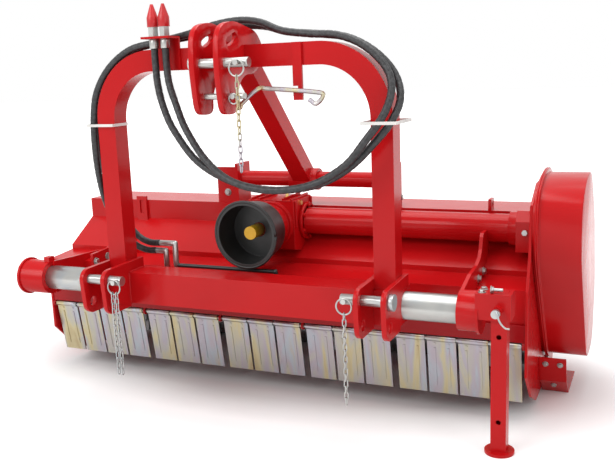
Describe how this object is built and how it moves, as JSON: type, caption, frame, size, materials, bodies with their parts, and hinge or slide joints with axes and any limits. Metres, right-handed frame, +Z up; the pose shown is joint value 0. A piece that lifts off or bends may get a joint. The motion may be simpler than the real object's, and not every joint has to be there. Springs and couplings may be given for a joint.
{
  "type": "flail mower",
  "caption": "Tractor flail mower: red hood over a belt-driven hammer rotor, rear roller, hinged front flaps, hydraulic side-shift three-point hitch frame with hoses, and a parking stand.",
  "frame": {"origin": "centre of the overall box at ground level, hoses, couplers and dust caps left out", "axes": "+X along the rotor towards the belt casing, +Y rearwards away from the tractor, +Z up"},
  "size_m": [1.841, 0.9396, 1.195],
  "materials": {
    "red_paint": "gloss",
    "dark_red_paint": "gloss",
    "zinc": "satin",
    "yellow_zinc": "satin",
    "steel": "satin",
    "chrome": "polished",
    "cast_iron": "matte",
    "brass": "satin",
    "black_plastic": "matte",
    "yellow_plastic": "gloss",
    "red_plastic": "gloss",
    "white_plastic": "matte",
    "rubber": "matte"
  },
  "bodies": {
    "deck": {"hood_shell": "red_paint", "left_side_plate": "red_paint", "right_side_plate": "red_paint", "flap_beam": "dark_red_paint", "flap_rod": "zinc", "slide_tube": "zinc", "left_carrier": "red_paint", "right_carrier": "red_paint", "rear_guide": "red_paint", "gearbox_housing": "red_paint", "gearbox_plugs": "brass", "pto_guard": "black_plastic", "drive_tube": "red_paint", "belt_box": "red_paint", "belt_cover": "red_paint", "drive_belts": "rubber", "rotor_bearings": "cast_iron", "skids": "red_paint", "deck_bolts": "zinc", "cylinder_rod": "chrome"},
    "input": {"input_shaft": "steel", "shaft_cap": "yellow_plastic"},
    "cross": {"cross_shaft": "steel", "drive_pulley": "cast_iron"},
    "rotor": {"rotor_drum": "steel", "rotor_pulley": "cast_iron"},
    "hammers_1": {"hammer_row_1": "steel"},
    "hammers_2": {"hammer_row_2": "steel"},
    "hammers_3": {"hammer_row_3": "steel"},
    "hammers_4": {"hammer_row_4": "steel"},
    "roller": {"rear_roller": "steel"},
    "stand": {"stand_leg": "red_paint"},
    "stand_lock": {"stand_pin": "zinc"},
    "flaps_1": {"flap_bank_1": "yellow_zinc"},
    "flaps_2": {"flap_bank_2": "yellow_zinc"},
    "flaps_3": {"flap_bank_3": "yellow_zinc"},
    "flaps_4": {"flap_bank_4": "yellow_zinc"},
    "flaps_5": {"flap_bank_5": "yellow_zinc"},
    "frame": {"hitch_beam": "red_paint", "arch_tube": "red_paint", "link_plates": "red_paint", "top_link_plates": "red_paint", "brace": "red_paint", "hitch_pins": "zinc", "cylinder_barrel": "red_paint", "hydraulic_fittings": "zinc", "hose_1": "rubber", "hose_2": "rubber", "hose_couplers": "zinc", "dust_caps": "red_plastic", "cable_ties": "white_plastic"},
    "left_clip": {"left_linch": "zinc"},
    "right_clip": {"right_linch": "zinc"},
    "top_clip": {"top_linch": "zinc"},
    "low_clip": {"low_linch": "zinc"},
    "left_tether": {"left_chain": "zinc"},
    "right_tether": {"right_chain": "zinc"},
    "top_tether": {"top_chain": "yellow_zinc"},
    "rod": {"support_rod": "yellow_zinc"}
  },
  "joints": [
    {"name": "side_shift", "type": "slide", "parent": "deck", "child": "frame", "axis": [1, 0, 0], "range_m": [-0.145, 0.145]},
    {"name": "rotor_spin", "type": "hinge", "parent": "deck", "child": "rotor", "pos_m": [-0.0245, 0.1805, 0.24], "axis": [1, 0, 0], "continuous": true},
    {"name": "cross_spin", "type": "hinge", "parent": "deck", "child": "cross", "pos_m": [-0.0245, 0.0555, 0.527], "axis": [1, 0, 0], "continuous": true},
    {"name": "input_spin", "type": "hinge", "parent": "deck", "child": "input", "pos_m": [-0.0245, -0.1345, 0.527], "axis": [0, 1, 0], "continuous": true},
    {"name": "hammer_swing_1", "type": "hinge", "parent": "rotor", "child": "hammers_1", "pos_m": [-0.0245, 0.25828, 0.31778], "axis": [1, 0, 0], "range_deg": [0, 135]},
    {"name": "hammer_swing_2", "type": "hinge", "parent": "rotor", "child": "hammers_2", "pos_m": [-0.0245, 0.10272, 0.31778], "axis": [1, 0, 0], "range_deg": [-135, 0]},
    {"name": "hammer_swing_3", "type": "hinge", "parent": "rotor", "child": "hammers_3", "pos_m": [-0.0245, 0.10272, 0.16222], "axis": [1, 0, 0], "range_deg": [-110, 45]},
    {"name": "hammer_swing_4", "type": "hinge", "parent": "rotor", "child": "hammers_4", "pos_m": [-0.0245, 0.25828, 0.16222], "axis": [1, 0, 0], "range_deg": [-45, 110]},
    {"name": "roller_spin", "type": "hinge", "parent": "deck", "child": "roller", "pos_m": [-0.0245, 0.3765, 0.065], "axis": [1, 0, 0], "continuous": true},
    {"name": "stand_height", "type": "slide", "parent": "deck", "child": "stand", "axis": [0, 0, 1], "range_m": [0, 0.305]},
    {"name": "stand_pin_pull", "type": "slide", "parent": "deck", "child": "stand_lock", "axis": [0, 1, 0], "range_m": [0, 0.012]},
    {"name": "flap_swing_1", "type": "hinge", "parent": "deck", "child": "flaps_1", "pos_m": [-0.0245, -0.1395, 0.236], "axis": [1, 0, 0], "range_deg": [0, 35]},
    {"name": "flap_swing_2", "type": "hinge", "parent": "deck", "child": "flaps_2", "pos_m": [-0.0245, -0.1395, 0.236], "axis": [1, 0, 0], "range_deg": [0, 35]},
    {"name": "flap_swing_3", "type": "hinge", "parent": "deck", "child": "flaps_3", "pos_m": [-0.0245, -0.1395, 0.236], "axis": [1, 0, 0], "range_deg": [0, 35]},
    {"name": "flap_swing_4", "type": "hinge", "parent": "deck", "child": "flaps_4", "pos_m": [-0.0245, -0.1395, 0.236], "axis": [1, 0, 0], "range_deg": [0, 35]},
    {"name": "flap_swing_5", "type": "hinge", "parent": "deck", "child": "flaps_5", "pos_m": [-0.0245, -0.1395, 0.236], "axis": [1, 0, 0], "range_deg": [0, 35]},
    {"name": "left_clip_pull", "type": "slide", "parent": "frame", "child": "left_clip", "axis": [0, -1, 0], "range_m": [0, 0.055]},
    {"name": "right_clip_pull", "type": "slide", "parent": "frame", "child": "right_clip", "axis": [0, -1, 0], "range_m": [0, 0.055]},
    {"name": "top_clip_pull", "type": "slide", "parent": "frame", "child": "top_clip", "axis": [0, -1, 0], "range_m": [0, 0.055]},
    {"name": "low_clip_pull", "type": "slide", "parent": "frame", "child": "low_clip", "axis": [0, -1, 0], "range_m": [0, 0.055]},
    {"name": "left_chain_swing", "type": "hinge", "parent": "left_clip", "child": "left_tether", "pos_m": [-0.3395, -0.4465, 0.404], "axis": [0, 1, 0], "range_deg": [-15, 5]},
    {"name": "right_chain_swing", "type": "hinge", "parent": "right_clip", "child": "right_tether", "pos_m": [0.3745, -0.4465, 0.404], "axis": [0, 1, 0], "range_deg": [-5, 15]},
    {"name": "top_chain_swing", "type": "hinge", "parent": "top_clip", "child": "top_tether", "pos_m": [0.1035, -0.4532, 1.014], "axis": [0, 1, 0], "range_deg": [-15, 15]},
    {"name": "rod_swing", "type": "hinge", "parent": "frame", "child": "rod", "pos_m": [0.054, -0.36362, 0.915], "axis": [0, 1, 0], "range_deg": [0, 60]}
  ],
  "couplings": [
    {"joint": "cross_spin", "follows": "rotor_spin", "ratio": 0.7368},
    {"joint": "input_spin", "follows": "rotor_spin", "ratio": 0.2414}
  ]
}
